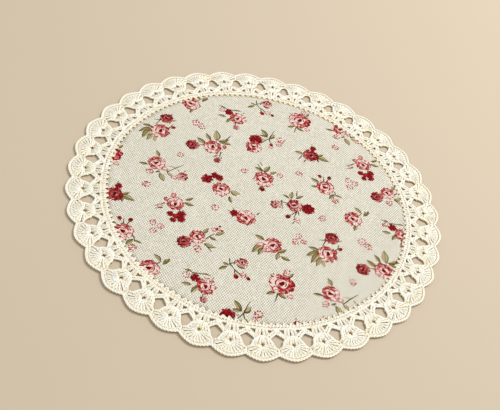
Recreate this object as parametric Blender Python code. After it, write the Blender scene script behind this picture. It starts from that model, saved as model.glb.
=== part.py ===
"""Round table doily, 350 mm across: a printed cloth panel in a crocheted shell border.

The doily lies flat with its underside at Z = 0, its middle at the origin and the axis of
one fan on -Y. It has two pieces:

  printed_panel    the round cut of linen and cotton cloth, turned under at its edge
  crochet_border   the border of 39 shells, worked in one yarn into the cloth's edge

A point is written as (turn, radius, height). A turn counts fans anticlockwise from the fan
on -Y, so a whole number is a fan's axis and a half is the notch beside it. Radius and
height are in millimetres, and place() turns all three into metres.
"""

import bmesh
import bpy
from collections import namedtuple
from math import cos, floor, pi, radians, sin
from mathutils import Vector
from mathutils.geometry import delaunay_2d_cdt

MILLIMETRE = 0.001

# Driving dimensions, in millimetres
FANS = 39                   # shells round the border
TIP_RADIUS = 175.0          # centre to the crown of a fan
SCALLOP_DEPTH = 5.2         # crown of a fan to the notch beside it
SCALLOP_POWER = 1.7         # 2 would be a plain arc: the real fans have straighter sides
PANEL_RADIUS = 140.0        # the cloth's turned edge
PANEL_THICKNESS = 1.0       # cloth with its turned edge, pressed flat
PANEL_EDGE_ROUND = 0.35     # how far the fold of the edge is rounded
PIECE_GAP = 0.3             # yarn to cloth
LACE_THICKNESS = 1.8        # the plain field between the raised rows

STITCHES = 7                # edge stitches below each fan
STITCH_REACH = 3.2          # how far the point of an edge stitch lies over the cloth
STITCH_ROOT = 1.4           # how far the yarn between two points lies over it
STITCH_THICKNESS = 0.6      # yarn where it lies on the cloth

OUTLINE_STEPS = 6           # points round each fan's scallop
FULL_CIRCLE = 2 * pi

Wave = namedtuple("Wave", "waves reach sway peak_deg")
# Handwork is a little uneven: each row pushes the border out by up to `reach` and along by
# up to `sway`, in that many waves round the doily, the first of them at `peak_deg`.
UNEVENNESS = (
    Wave(1, 0.50, 0.00, 180),
    Wave(2, 0.35, 0.25, -80),
    Wave(3, 0.50, 0.20, -88),
    Wave(5, 0.00, 0.30, 25),
    Wave(7, 0.25, 0.15, 20),
    Wave(11, 0.22, 0.20, 70),
)

Profile = namedtuple("Profile", "inset height")
# The rope-like rim in section, from the underside out and over: inset is from the outline.
RIM = (
    Profile(0.8, 0.0),
    Profile(0.0, 1.1),
    Profile(1.4, 2.5),
    Profile(3.4, 1.9),
)

Step = namedtuple("Step", "radius height")
# The wall that the lace turns to the cloth's edge, from the underside up.
EDGE_WALL = (
    Step(PANEL_RADIUS + PIECE_GAP, 0.0),
    Step(PANEL_RADIUS + PIECE_GAP, PANEL_THICKNESS + PIECE_GAP),
)
# The heads of the edge stitches, from their crest out to the lace.
EDGE_HEADS = (
    Step(142.2, 2.4),
    Step(144.6, LACE_THICKNESS),
)

Corner = namedtuple("Corner", "along radius")
# Each opening of the lace, anticlockwise: `along` is in fans from the axis that it sits on.
SHELL_GAP = (               # the large gap below each notch
    Corner(-0.03, 150.6),
    Corner(0.11, 152.2),
    Corner(0.22, 154.7),
    Corner(0.16, 157.9),
    Corner(0.10, 161.7),
    Corner(0.02, 162.4),
    Corner(-0.06, 162.1),
    Corner(-0.15, 158.2),
    Corner(-0.225, 154.4),
    Corner(-0.13, 152.3),
)
EARLY_GAP = (               # the small gap clockwise of the anchor stitch
    Corner(-0.35, 146.0),
    Corner(-0.15, 146.0),
    Corner(-0.24, 149.0),
    Corner(-0.31, 149.3),
)
LATE_GAP = (                # the small gap anticlockwise of the anchor stitch
    Corner(0.125, 146.1),
    Corner(0.28, 146.0),
    Corner(0.225, 149.3),
    Corner(0.19, 148.7),
)
FAN_EYE = (                 # the slit that each fan grows from
    Corner(0.0, 158.3),
    Corner(0.045, 160.6),
    Corner(0.02, 162.4),
    Corner(-0.035, 162.0),
    Corner(-0.045, 160.0),
)
HALF = 0.5
OPENINGS = (
    (SHELL_GAP, HALF),
    (EARLY_GAP, HALF),
    (LATE_GAP, HALF),
    (FAN_EYE, 0.0),
)

Relief = namedtuple("Relief", "turn radius height")
# What stands up or sinks on the lace's upper side, in each fan
RELIEF = (
    Relief(0.00, 167.0, 2.3),       # crown of the fan
    Relief(0.26, 166.5, 2.2),
    Relief(-0.26, 166.5, 2.2),
    Relief(0.50, 165.6, 1.6),       # valley where two fans join
    Relief(0.14, 156.2, 2.2),       # legs of the shell
    Relief(-0.14, 156.2, 2.2),
    Relief(0.00, 151.8, 2.3),       # the stitch that gathers them
    Relief(0.48, 147.6, 2.1),       # anchor stitch
)

Finish = namedtuple("Finish", "colour roughness")
CLOTH_FINISH = Finish((0.72, 0.68, 0.62, 1.0), 0.90)
YARN_FINISH = Finish((0.88, 0.85, 0.76, 1.0), 0.85)


def push(turn):
    """How far the handwork is pushed out and along at this turn, in millimetres."""
    angle = turn / FANS * FULL_CIRCLE - radians(90)
    out = 0.0
    along = 0.0
    for row in UNEVENNESS:
        phase = row.waves * (angle - radians(row.peak_deg))
        out += row.reach * cos(phase)
        along += row.sway * sin(phase)
    return out, along


def uneven_point(turn, radius):
    """The flat place of a point, in millimetres, before the doily is centred."""
    out, along = push(turn)
    share = radius / TIP_RADIUS
    angle = turn / FANS * FULL_CIRCLE - radians(90) + along * share / TIP_RADIUS
    reach = radius + out * share
    return reach * cos(angle), reach * sin(angle)


def outline_radius(turn, inset=0.0):
    """The scalloped outline, or a line that runs inside it by the inset."""
    beside_axis = abs(turn - floor(turn + HALF))
    return TIP_RADIUS - inset - SCALLOP_DEPTH * (2 * beside_axis) ** SCALLOP_POWER


def outline_middle():
    """The middle of the outline's box, which the origin is moved to."""
    points = [uneven_point(turn, outline_radius(turn)) for turn in turns(OUTLINE_STEPS)]
    across = [x for x, _ in points]
    along = [y for _, y in points]
    return (min(across) + max(across)) / 2, (min(along) + max(along)) / 2


def turns(steps):
    """Evenly spaced turns all the way round, with so many steps in each fan."""
    return [count / steps for count in range(FANS * steps)]


def place(turn, radius, height):
    x, y = uneven_point(turn, radius)
    middle_x, middle_y = MIDDLE
    return Vector((x - middle_x, y - middle_y, height)) * MILLIMETRE


MIDDLE = outline_middle()


def plain_ring(radius, height):
    return [place(turn, radius, height) for turn in turns(STITCHES)]


def pointed_ring(height):
    """The points of the edge stitches, each with the root beside it."""
    ring = []
    for turn in turns(STITCHES):
        ring.append(place(turn, PANEL_RADIUS - STITCH_REACH, height))
        ring.append(place(turn + HALF / STITCHES, PANEL_RADIUS - STITCH_ROOT, height))
    return ring


def rim_ring(inset, height):
    return [place(turn, outline_radius(turn, inset), height) for turn in turns(OUTLINE_STEPS)]


def opening_loops(height):
    """Every opening's outline at this height."""
    loops = []
    for fan in range(FANS):
        for corners, axis in OPENINGS:
            loops.append([place(fan + axis + c.along, c.radius, height) for c in corners])
    return loops


def contains(loop, point):
    """Whether a flat point lies inside a closed loop."""
    inside = False
    for start, end in zip(loop, loop[1:] + loop[:1]):
        if (start.y > point.y) != (end.y > point.y):
            crossing = start.x + (point.y - start.y) * (end.x - start.x) / (end.y - start.y)
            if point.x < crossing:
                inside = not inside
    return inside


def lace_triangles(outer, inner, openings, extra):
    """Triangles between the outer loop, the inner loop and the openings, seen from above."""
    loops = [outer, inner] + openings
    points = []
    edges = []
    owner = []
    for number, loop in enumerate(loops):
        first = len(points)
        points += loop
        owner += [number] * len(loop)
        edges += [(first + i, first + (i + 1) % len(loop)) for i in range(len(loop))]
    points += extra
    owner += [None] * len(extra)
    flat = [p.xy for p in points]
    result = delaunay_2d_cdt(flat, edges, [], 0, 1e-9)
    source = [ids[0] for ids in result[3]]
    triangles = []
    for face in result[2]:
        corners = [source[i] for i in face]
        owners = {owner[i] for i in corners}
        if len(owners) == 1 and None not in owners:
            number = owners.pop()
            middle = sum((flat[i] for i in corners), Vector((0.0, 0.0))) / 3
            inside = contains(loops[number], middle)
            if inside != (number == 0):
                continue
        triangles.append([points[i] for i in corners])
    return triangles


class Shell:
    """A closed surface built up from triangles and strips whose points are shared."""

    def __init__(self):
        self.mesh = bmesh.new()
        self.known = {}

    def vertex(self, point):
        key = tuple(round(value, 7) for value in point)
        if key not in self.known:
            self.known[key] = self.mesh.verts.new(point)
        return self.known[key]

    def face(self, points):
        self.mesh.faces.new([self.vertex(point) for point in points])

    def strip(self, lower, upper):
        """A wall between two loops with the same number of points."""
        count = len(lower)
        for i in range(count):
            j = (i + 1) % count
            self.face((lower[i], lower[j], upper[j], upper[i]))

    def fan_strip(self, plain, pointed):
        """A band between a loop and one with twice as many points."""
        count = len(plain)
        for i in range(count):
            near, far = plain[i], plain[(i + 1) % count]
            start, middle, end = (pointed[(2 * i + step) % (2 * count)] for step in range(3))
            self.face((near, start, middle))
            self.face((near, middle, far))
            self.face((far, middle, end))

    def object(self, name, material):
        """Split the faces into triangles and hand the surface to a new object."""
        bmesh.ops.triangulate(self.mesh, faces=self.mesh.faces[:])
        bmesh.ops.recalc_face_normals(self.mesh, faces=self.mesh.faces[:])
        data = bpy.data.meshes.new(name)
        self.mesh.to_mesh(data)
        self.mesh.free()
        data.materials.append(material)
        item = bpy.data.objects.new(name, data)
        bpy.context.scene.collection.objects.link(item)
        return item


def make_material(name, finish):
    material = bpy.data.materials.new(name)
    material.use_nodes = True
    shader = material.node_tree.nodes["Principled BSDF"]
    shader.inputs["Base Color"].default_value = finish.colour
    shader.inputs["Roughness"].default_value = finish.roughness
    shader.inputs["Metallic"].default_value = 0.0
    return material


def make_printed_panel():
    """The flat round of cloth, its edge folded under and so a little rounded."""
    shell = Shell()
    inner = PANEL_RADIUS - PANEL_EDGE_ROUND
    bottom = plain_ring(inner, 0.0)
    side = plain_ring(PANEL_RADIUS, PANEL_THICKNESS / 2)
    top = plain_ring(inner, PANEL_THICKNESS)
    shell.face(bottom[::-1])
    shell.strip(bottom, side)
    shell.strip(side, top)
    shell.face(top)
    return shell.object("printed_panel", make_material("printed_cloth", CLOTH_FINISH))


def make_crochet_border():
    """The border: a raised rim, a pierced field and a row of stitches over the cloth."""
    shell = Shell()
    rim = [rim_ring(row.inset, row.height) for row in RIM]
    for lower, upper in zip(rim, rim[1:]):
        shell.strip(lower, upper)

    wall = [plain_ring(step.radius, step.height) for step in EDGE_WALL]
    heads = [plain_ring(step.radius, step.height) for step in EDGE_HEADS]
    lying = EDGE_WALL[-1].height
    points_below = pointed_ring(lying)
    points_above = pointed_ring(lying + STITCH_THICKNESS)
    shell.strip(*wall)
    shell.fan_strip(wall[-1], points_below)
    shell.strip(points_below, points_above)
    shell.fan_strip(heads[0], points_above)
    shell.strip(*heads)

    upper_loops = opening_loops(LACE_THICKNESS)
    lower_loops = opening_loops(0.0)
    relief = [place(fan + r.turn, r.radius, r.height) for fan in range(FANS) for r in RELIEF]
    for triangle in lace_triangles(rim[-1], heads[-1], upper_loops, relief):
        shell.face(triangle)
    for triangle in lace_triangles(rim[0], wall[0], lower_loops, []):
        shell.face(triangle[::-1])
    for upper, lower in zip(upper_loops, lower_loops):
        shell.strip(upper, lower)
    return shell.object("crochet_border", make_material("cotton_yarn", YARN_FINISH))


def clear_scene():
    for item in list(bpy.data.objects):
        bpy.data.objects.remove(item, do_unlink=True)


def main():
    clear_scene()
    make_printed_panel()
    make_crochet_border()


main()
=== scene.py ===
"""A round table doily: a rose-printed linen panel in a wide hand-crocheted border.

The border is laid as real lengths of yarn, round by round: the stitches that hold it
to the cloth, a round of V-stitches, a round of treble groups, a round of fans and the rim.
Places in the lace are given as turn (counted in fans, anticlockwise from the fan on
the near side), radius and height in millimetres. The print is charted in millimetres
along and across the cloth's own threads.
"""

import math
from collections import namedtuple

import bpy
import numpy as np
from bpy.props import FloatProperty, FloatVectorProperty, IntProperty, PointerProperty
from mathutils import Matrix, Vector
from mathutils.geometry import delaunay_2d_cdt


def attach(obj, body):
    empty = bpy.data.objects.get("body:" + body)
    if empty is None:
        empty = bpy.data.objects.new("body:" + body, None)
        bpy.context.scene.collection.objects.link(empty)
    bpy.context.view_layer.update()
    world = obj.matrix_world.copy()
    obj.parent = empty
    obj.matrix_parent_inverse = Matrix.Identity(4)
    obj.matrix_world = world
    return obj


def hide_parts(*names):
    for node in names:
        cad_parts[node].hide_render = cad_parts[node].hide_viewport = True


bl_info = {
    "name": "Lace doily",
    "version": (1, 0, 0),
    "blender": (4, 5, 0),
    "location": "3D View > Sidebar > Doily",
    "description": "Lays the yarn, the printed cloth and the stage of a round lace doily",
    "category": "Add Mesh",
}

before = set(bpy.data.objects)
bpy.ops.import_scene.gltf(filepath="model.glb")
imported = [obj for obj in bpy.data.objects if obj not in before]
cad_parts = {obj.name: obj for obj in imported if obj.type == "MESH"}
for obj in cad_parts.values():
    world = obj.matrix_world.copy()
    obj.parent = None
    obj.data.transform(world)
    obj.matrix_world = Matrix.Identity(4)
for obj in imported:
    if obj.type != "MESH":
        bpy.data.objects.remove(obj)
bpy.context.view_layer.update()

MM = 0.001
FULL = 2 * math.pi

# ---------------------------------------------------------------- the lace's drawing
FANS = 39
TIP_RADIUS = 175.0
SCALLOP_DEPTH = 5.2
SCALLOP_POWER = 1.7
CLOTH_RADIUS = 139.8
OUTLINE_STEPS = 6

# Handwork is never quite round: each wave pushes the lace outwards by reach, and along
# the edge by sway, in mm, as many times round the doily as its number of waves.
Wave = namedtuple("Wave", "waves reach sway peak_deg")
UNEVENNESS = (
    Wave(1, 0.50, 0.00, 180),
    Wave(2, 0.35, 0.25, -80),
    Wave(3, 0.50, 0.20, -88),
    Wave(5, 0.00, 0.30, 25),
    Wave(7, 0.25, 0.15, 20),
    Wave(11, 0.22, 0.20, 70),
)


def uneven_point(turn, radius):
    """Where a point of the even drawing lies on the handmade piece, in mm."""
    turn = np.asarray(turn, float)
    radius = np.asarray(radius, float)
    angle = turn / FANS * FULL - math.pi / 2
    outwards = 0.0
    along = 0.0
    for wave in UNEVENNESS:
        phase = wave.waves * (angle - math.radians(wave.peak_deg))
        outwards = outwards + wave.reach * np.cos(phase)
        along = along + wave.sway * np.sin(phase)
    share = radius / TIP_RADIUS
    bearing = angle + along * share / TIP_RADIUS
    reach = radius + outwards * share
    return np.stack([reach * np.cos(bearing), reach * np.sin(bearing)], -1)


def outline_radius(turn, inset=0.0):
    """The scalloped edge's radius, less an inset."""
    turn = np.asarray(turn, float)
    beside = np.abs(turn - np.floor(turn + 0.5))
    return TIP_RADIUS - inset - SCALLOP_DEPTH * (2 * beside) ** SCALLOP_POWER


def drawing_middle():
    """The middle of the outline's box, which stands at the frame's origin."""
    turns = np.arange(FANS * OUTLINE_STEPS) / OUTLINE_STEPS
    rim = uneven_point(turns, outline_radius(turns))
    return (rim.min(0) + rim.max(0)) / 2


MIDDLE = drawing_middle()


def spot(turn, radius, height):
    """Points of the lace in mm, from their turn, radius and height."""
    flat = uneven_point(turn, radius) - MIDDLE
    height = np.broadcast_to(height, flat.shape[:-1])
    return np.concatenate([flat, height[..., None]], -1)


# ---------------------------------------------------------------- laying yarn
UP = np.array([0.0, 0.0, 1.0])
YARN_SIDES = 5
# A crochet chain, and the wrapped yarn of a post, both show as three strands.
STRANDS = 3
LINK_POINTS = 4
# How far on along the yarn's twist each length of it begins, so that no two look alike, in mm.
LENGTH_APART = 7.31


def unit(vectors):
    """Vectors of length one."""
    return vectors / np.maximum(np.linalg.norm(vectors, axis=-1, keepdims=True), 1e-9)


def along_line(lines, closed=False):
    """The direction of travel at each point of several lines."""
    if closed:
        return unit(np.roll(lines, -1, 1) - np.roll(lines, 1, 1))
    way = np.empty_like(lines)
    way[:, 1:-1] = lines[:, 2:] - lines[:, :-2]
    way[:, 0] = lines[:, 1] - lines[:, 0]
    way[:, -1] = lines[:, -1] - lines[:, -2]
    return unit(way)


def rotate(lines, ways, closed):
    """Two directions square to each line, carried along it without a twist."""
    if closed:
        first = unit(UP - (ways @ UP)[..., None] * ways)
        return first, np.cross(ways, first)
    first = np.empty_like(lines)
    steep = np.abs(ways[:, 0, 2:]) > 0.8
    seed = np.where(steep, np.array([1.0, 0.0, 0.0]), UP)
    first[:, 0] = unit(seed - (seed * ways[:, 0]).sum(-1, keepdims=True) * ways[:, 0])
    for i in range(1, lines.shape[1]):
        last = first[:, i - 1]
        first[:, i] = unit(last - (last * ways[:, i]).sum(-1, keepdims=True) * ways[:, i])
    return first, np.cross(ways, first)


class Skein:
    """Lengths of yarn gathered into one mesh."""

    def __init__(self):
        self.points = []
        self.quads = []
        self.quad_maps = []
        self.caps = []
        self.count = 0

    def lay(self, lines, thickness, closed=False):
        """Lays yarn along lines (how many, points, xyz), of a thickness in mm."""
        lines = np.asarray(lines, float)
        many, points = lines.shape[:2]
        thickness = np.broadcast_to(thickness, (many, points)) / 2
        ways = along_line(lines, closed)
        first, second = rotate(lines, ways, closed)
        around = np.arange(YARN_SIDES) / YARN_SIDES * FULL
        circle = (np.cos(around)[:, None] * first[:, :, None]
                  + np.sin(around)[:, None] * second[:, :, None])
        tube = lines[:, :, None] + circle * thickness[:, :, None, None]
        start = self.count
        self.points.append(tube.reshape(-1, 3))
        self.count += tube.size // 3

        strands = np.arange(many)[:, None, None] * points * YARN_SIDES + start
        steps = np.arange(points if closed else points - 1)[:, None]
        sides = np.arange(YARN_SIDES)
        near, far = steps * YARN_SIDES, (steps + 1) % points * YARN_SIDES
        here, there = sides, (sides + 1) % YARN_SIDES
        faces = np.stack([near + here, near + there, far + there, far + here], -1)
        self.quads.append((strands[..., None] + faces).reshape(-1, 4))

        gone = np.zeros((many, points + 1))
        gaps = np.linalg.norm(np.roll(lines, -1, 1) - lines, axis=-1)
        gone[:, 1:] = np.cumsum(gaps, 1)
        gone += np.arange(many)[:, None] * LENGTH_APART
        low, high = gone[:, steps[:, 0]], gone[:, steps[:, 0] + 1]
        corners = np.empty(low.shape + (YARN_SIDES, 4, 2))
        corners[..., :2, 0] = low[..., None, None]
        corners[..., 2:, 0] = high[..., None, None]
        corners[..., (0, 3), 1] = (sides / YARN_SIDES)[:, None]
        corners[..., (1, 2), 1] = ((sides + 1) / YARN_SIDES)[:, None]
        self.quad_maps.append(corners.reshape(-1, 2))

        if not closed:
            ends = np.arange(many)[:, None] * points * YARN_SIDES + start
            self.caps.append(ends + sides[::-1])
            self.caps.append(ends + (points - 1) * YARN_SIDES + sides)

    def lay_through(self, places, count, thickness):
        """Lays yarn through a few places, each given for every stitch."""
        self.lay(smooth_path(np.stack(places, 1), count), thickness)

    def build(self, name, finish, slot, replaced):
        """Makes the yarn into one piece of the lace."""
        caps = np.concatenate(self.caps) if self.caps else np.empty((0, YARN_SIDES), int)
        faces = np.concatenate(self.quads).tolist() + caps.tolist()
        mesh = bpy.data.meshes.new(name)
        mesh.from_pydata(np.concatenate(self.points) * MM, [], faces)
        maps = np.concatenate(self.quad_maps + [np.zeros((caps.size, 2))])
        mesh.uv_layers.new(name="yarn").data.foreach_set("uv", maps.ravel())
        mesh.shade_smooth()
        return set_piece(mesh, finish, replaced)


def put(data):
    """Puts a mesh, a light or a camera in the scene under its own name."""
    thing = bpy.data.objects.new(data.name, data)
    bpy.context.scene.collection.objects.link(thing)
    return thing


def set_piece(mesh, finish, replaced):
    """Puts a mesh in the scene as a piece that stands for one of the frame's nodes."""
    mesh.materials.append(finish)
    piece = put(mesh)
    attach(piece, "root")
    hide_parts(replaced)
    return piece


def smooth_path(places, count):
    """A smooth path of count points through a few places (how many, places, numbers)."""
    places = np.asarray(places, float)
    knots = places.shape[1]
    padded = np.concatenate(
        [2 * places[:, :1] - places[:, 1:2], places, 2 * places[:, -1:] - places[:, -2:-1]], 1
    )
    at = np.linspace(0, knots - 1, count)
    knot = np.minimum(at.astype(int), knots - 2)
    t = (at - knot)[:, None]
    a, b, c, d = (padded[:, knot + k] for k in range(4))
    return 0.5 * (
        2 * b + (c - a) * t + (2 * a - 5 * b + 4 * c - d) * t**2 + (3 * b - a - 3 * c + d) * t**3
    )


def even_out(line, count, closed=False):
    """The same line with its points evenly spaced."""
    if closed:
        line = np.concatenate([line, line[:1]])
    gone = np.concatenate([[0], np.cumsum(np.linalg.norm(np.diff(line, axis=0), axis=1))])
    at = np.linspace(0, gone[-1], count, endpoint=not closed)
    return np.stack([np.interp(at, gone, line[:, k]) for k in range(line.shape[1])], 1)


def sideways(lines, closed=False):
    """The level direction across each line, to the left of its way."""
    ways = along_line(lines, closed)
    return unit(np.stack([-ways[..., 1], ways[..., 0], np.zeros(ways.shape[:-1])], -1))


def moved(lines, across, side, rise):
    """Lines moved aside and up by distances given for their points."""
    return lines + side[..., None] * across + rise[..., None] * UP


def plait(lines, links, width, depth, start=0.0, closed=False):
    """The strands of a crochet chain seen from above, along lines (how many, points, xyz)."""
    points = lines.shape[1]
    share = np.arange(points) / (points if closed else points - 1)
    theta = FULL * links / STRANDS * share + np.asarray(start)[..., None]
    across = sideways(lines, closed)
    phases = [theta + FULL * k / STRANDS for k in range(STRANDS)]
    return np.concatenate([
        moved(lines, across, width * np.sin(phase), depth * np.sin(2 * phase))
        for phase in phases])


def whole_links(links):
    """The links of a closed chain, less those that keep its strands from meeting."""
    return links // STRANDS * STRANDS


def straight(foot, head, count):
    """Straight lines of count points from foot to head (how many, xyz)."""
    return foot[:, None] + (head - foot)[:, None] * np.linspace(0, 1, count)[:, None]


def posts(foot, head, foot_width, head_width, thick, wraps, belly, count, rng):
    """The wrapped yarn of treble posts, from foot to head (how many, xyz)."""
    many = len(foot)
    share = np.linspace(0, 1, count)
    middle = straight(foot, head, count)
    middle[..., 2] += belly * 4 * share * (1 - share)
    across = sideways(middle)
    width = foot_width + (head_width - foot_width) * share**0.8
    start = rng.uniform(0, FULL, many)[:, None]
    wraps = wraps * rng.uniform(0.85, 1.15, many)[:, None]
    phases = [FULL * (wraps * share + k / STRANDS) + start for k in range(STRANDS)]
    return np.concatenate([
        moved(middle, across, width / 2 * np.cos(phase), thick / 2 * np.sin(phase))
        for phase in phases])


def ring(turns, radius, height, count):
    """One closed line round the lace, of evenly spaced points."""
    return even_out(spot(turns, radius, height), count, closed=True)[None]


def for_each_fan(rows):
    """Rows of numbers repeated for every fan; their first column, the turn, moves on."""
    rows = np.asarray(rows, float)
    every = np.broadcast_to(rows, (FANS,) + rows.shape).copy()
    every[..., 0] += np.arange(FANS).reshape((FANS,) + (1,) * (rows.ndim - 1))
    return every.reshape((-1,) + rows.shape[1:])


# ---------------------------------------------------------------- the rounds
# About how many mm one turn is in the middle of the lace.
TURN_MM = 24
Post = namedtuple("Post", "foot_turn foot_radius head_turn head_radius foot_width head_width")
V_POSTS = (
    Post(-0.178, 144.8, -0.236, 151.0, 1.40, 1.75),
    Post(-0.096, 144.8, -0.108, 152.0, 1.20, 1.65),
    Post(0.020, 144.8, 0.044, 152.0, 1.20, 1.65),
    Post(0.112, 144.8, 0.180, 151.0, 1.40, 1.75),
)
ANCHOR_POSTS = (
    Post(0.418, 144.8, 0.428, 148.2, 1.30, 1.45),
    Post(0.484, 144.8, 0.474, 149.0, 1.20, 1.50),
    Post(0.550, 144.8, 0.520, 148.2, 1.30, 1.45),
)
TREBLE_SIDE = (
    Post(0.042, 151.3, 0.108, 160.7, 0.70, 1.45),
    Post(0.085, 151.6, 0.236, 160.0, 0.70, 1.55),
    Post(0.130, 152.2, 0.332, 158.2, 0.70, 1.55),
)
TREBLE_POSTS = (
    *(post._replace(foot_turn=-post.foot_turn, head_turn=-post.head_turn)
      for post in reversed(TREBLE_SIDE)),
    Post(0.000, 151.2, 0.000, 158.6, 0.70, 1.40),
    *TREBLE_SIDE,
)
JOIN_POST = Post(0.500, 163.4, 0.500, 168.4, 1.1, 1.3)

# The chains' places: turn, radius and height.
LOWER_CHAIN = (
    (-0.515, 147.0, 1.30), (-0.430, 147.2, 1.30), (-0.335, 149.9, 1.45), (-0.245, 151.5, 1.30),
    (-0.100, 152.0, 0.95), (0.060, 152.0, 0.95), (0.190, 151.5, 1.30), (0.272, 149.9, 1.45),
    (0.388, 147.3, 1.30),
)
LOWER_LINKS = 12
# The chains beside a treble group, each after its number of links.
SIDE_CHAINS = (
    (4, ((-0.545, 149.0, 1.5), (-0.470, 149.8, 1.7), (-0.385, 151.2, 1.6), (-0.295, 152.8, 1.4),
         (-0.225, 154.9, 1.0))),
    (4, ((0.470, 149.0, 1.5), (0.410, 149.9, 1.7), (0.335, 151.5, 1.6), (0.268, 153.1, 1.4),
         (0.215, 154.9, 1.0))),
    (6, ((-0.225, 154.9, 1.6), (-0.298, 158.4, 1.7), (-0.360, 161.9, 1.5), (-0.470, 163.7, 1.2))),
    (6, ((0.225, 154.9, 1.6), (0.312, 158.6, 1.7), (0.388, 162.2, 1.5), (0.472, 163.9, 1.2))),
)

# Thickness of the yarn wrapped round a post, and of the yarn behind two posts, in yarns.
WRAPPED = 0.95
BEHIND = 1.5
POST_WRAPS = 0.9
POST_POINTS = 8
BACK_HEIGHT = 0.65

EDGE_STITCHES = FANS * 4
EDGE_LINKS = EDGE_STITCHES * 2
# How far the links of the edge's chains stray to each side and up or down, in mm.
EDGE_STRAY = (0.16, 0.16, 0.12)
# The radius and height of each chain round the cloth, and its plait's phase at the start.
EDGE_CHAINS = ((142.0, 1.30, 0.0), (144.9, 1.45, 1.3))
# The plain rings of yarn that show low down beside the chains: their radii and height.
EDGE_BACKS = (141.3, 143.4, 145.2)
EDGE_BACK_HEIGHT = 0.70
# Where the edge stitches go into the cloth.
BITE_RADIUS = 138.5
# A fan's trebles spread from an eye at this radius, so far to each side of its axis.
FAN_MIDDLE = 161.2
FAN_TREBLES = 13
FAN_SPREAD_DEG = 98.0
FAN_FOOT_REACH = 1.12
# How wide a fan spreads, in turns from its axis, as the gap beside it leaves room.
FAN_SIDE_RADII = (156, 158, 162, 165, 170)
FAN_SIDE_TURNS = (0.300, 0.335, 0.400, 0.455, 0.475)
RIM_WIDTH = 3.1
RIM_STITCHES = 11
# A rim stitch's leg from foot to head: inset from the outline, share of its lean, height.
RIM_LEG = ((4.3, 0.45, 0.90), (3.7, 0.60, 1.45), (3.0, 0.95, 1.50), (2.3, 1.05, 1.10),
           (1.6, 1.0, 0.8))
# The rim's points for each fan, and how many to each side a notch is rounded over.
RIM_STEPS = 240
NOTCH_REACH = 12


def make_posts(skein, rows, yarn, rng, foot_height, head_height, belly, thick):
    """Lays a table of posts for every fan."""
    every = for_each_fan(rows)
    many = len(every)
    wobble = rng.normal(0, 0.12, (many, 2)) / TURN_MM
    fan = np.repeat(np.arange(FANS), len(rows))
    foot = spot(every[:, 0] + wobble[:, 0], every[:, 1], foot_height)
    head = spot(every[:, 2] + fan + wobble[:, 1], every[:, 3], head_height)
    widths = every[:, 4:5], every[:, 5:6]
    lines = posts(foot, head, *widths, thick, POST_WRAPS, belly, POST_POINTS, rng)
    skein.lay(lines, yarn * WRAPPED)


def back_posts(skein, rows, yarn, shorter=0.0):
    """Lays the backs of the trebles, which show low down between two neighbours, where the cotton
    takes its painted shade.
    """
    between = for_each_fan([np.mean(pair, 0) for pair in zip(rows, rows[1:])])
    fan = np.repeat(np.arange(FANS), len(rows) - 1)
    foot = spot(between[:, 0], between[:, 1], BACK_HEIGHT)
    head = spot(between[:, 2] + fan, between[:, 3] - shorter, BACK_HEIGHT)
    skein.lay(straight(foot, head, 5), yarn * BEHIND)


def edge_round(yarn, rng):
    """The stitches that pierce the cloth, with their heads in two chains round it."""
    skein = Skein()
    points = EDGE_LINKS * LINK_POINTS
    turns = np.arange(points) / points * FANS
    for radius, height, start in EDGE_CHAINS:
        stray = np.repeat(rng.normal(0, 1, (EDGE_LINKS, 3)), LINK_POINTS, 0) * EDGE_STRAY
        stray = (stray + np.roll(stray, 1, 0) + np.roll(stray, 2, 0)) / 2
        line = ring(turns, radius, height, points) + stray
        chain = plait(line, EDGE_LINKS, width=0.76, depth=0.36, start=start, closed=True)
        skein.lay(chain, yarn * 1.02, closed=True)
    for radius in EDGE_BACKS:
        skein.lay(ring(turns, radius, EDGE_BACK_HEIGHT, points // 2), yarn * 1.6, closed=True)

    stitch = (np.arange(EDGE_STITCHES) + 0.34) / 4 + rng.normal(0, 0.008, EDGE_STITCHES)
    bite = BITE_RADIUS + rng.normal(0, 0.35, EDGE_STITCHES)
    lean = rng.normal(-0.010, 0.014, EDGE_STITCHES)
    rise = rng.normal(0, 0.10, EDGE_STITCHES)
    for side in (-1, 1):
        places = [
            spot(stitch + side * 0.050, 143.8, 1.30),
            spot(stitch + side * 0.066, 142.4, 1.85 + rise),
            spot(stitch + side * 0.066, 141.0, 1.80 + rise),
            spot(stitch + side * 0.046 + lean / 2, 139.9, 1.40),
            spot(stitch + side * 0.026 + lean, 139.1, 1.15),
            spot(stitch + side * 0.016 + lean, bite, 0.90),
            spot(stitch + side * 0.012 + lean, bite - 0.12, 0.50),
        ]
        skein.lay_through(places, 10, yarn * np.linspace(1.15, 0.85, 10))
    core = [
        spot(stitch, 142.0, 1.10),
        spot(stitch + lean / 2, 140.0, 1.25),
        spot(stitch + lean, 138.6, 1.00),
    ]
    skein.lay_through(core, 5, yarn * 1.1)
    under = [
        spot(stitch, bite - 0.1, 0.34),
        spot(stitch, 139.5, 0.30),
        spot(stitch, 141.4, 0.50),
        spot(stitch, 143.2, 1.00),
    ]
    skein.lay_through(under, 5, yarn * 0.6)
    return skein


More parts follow.
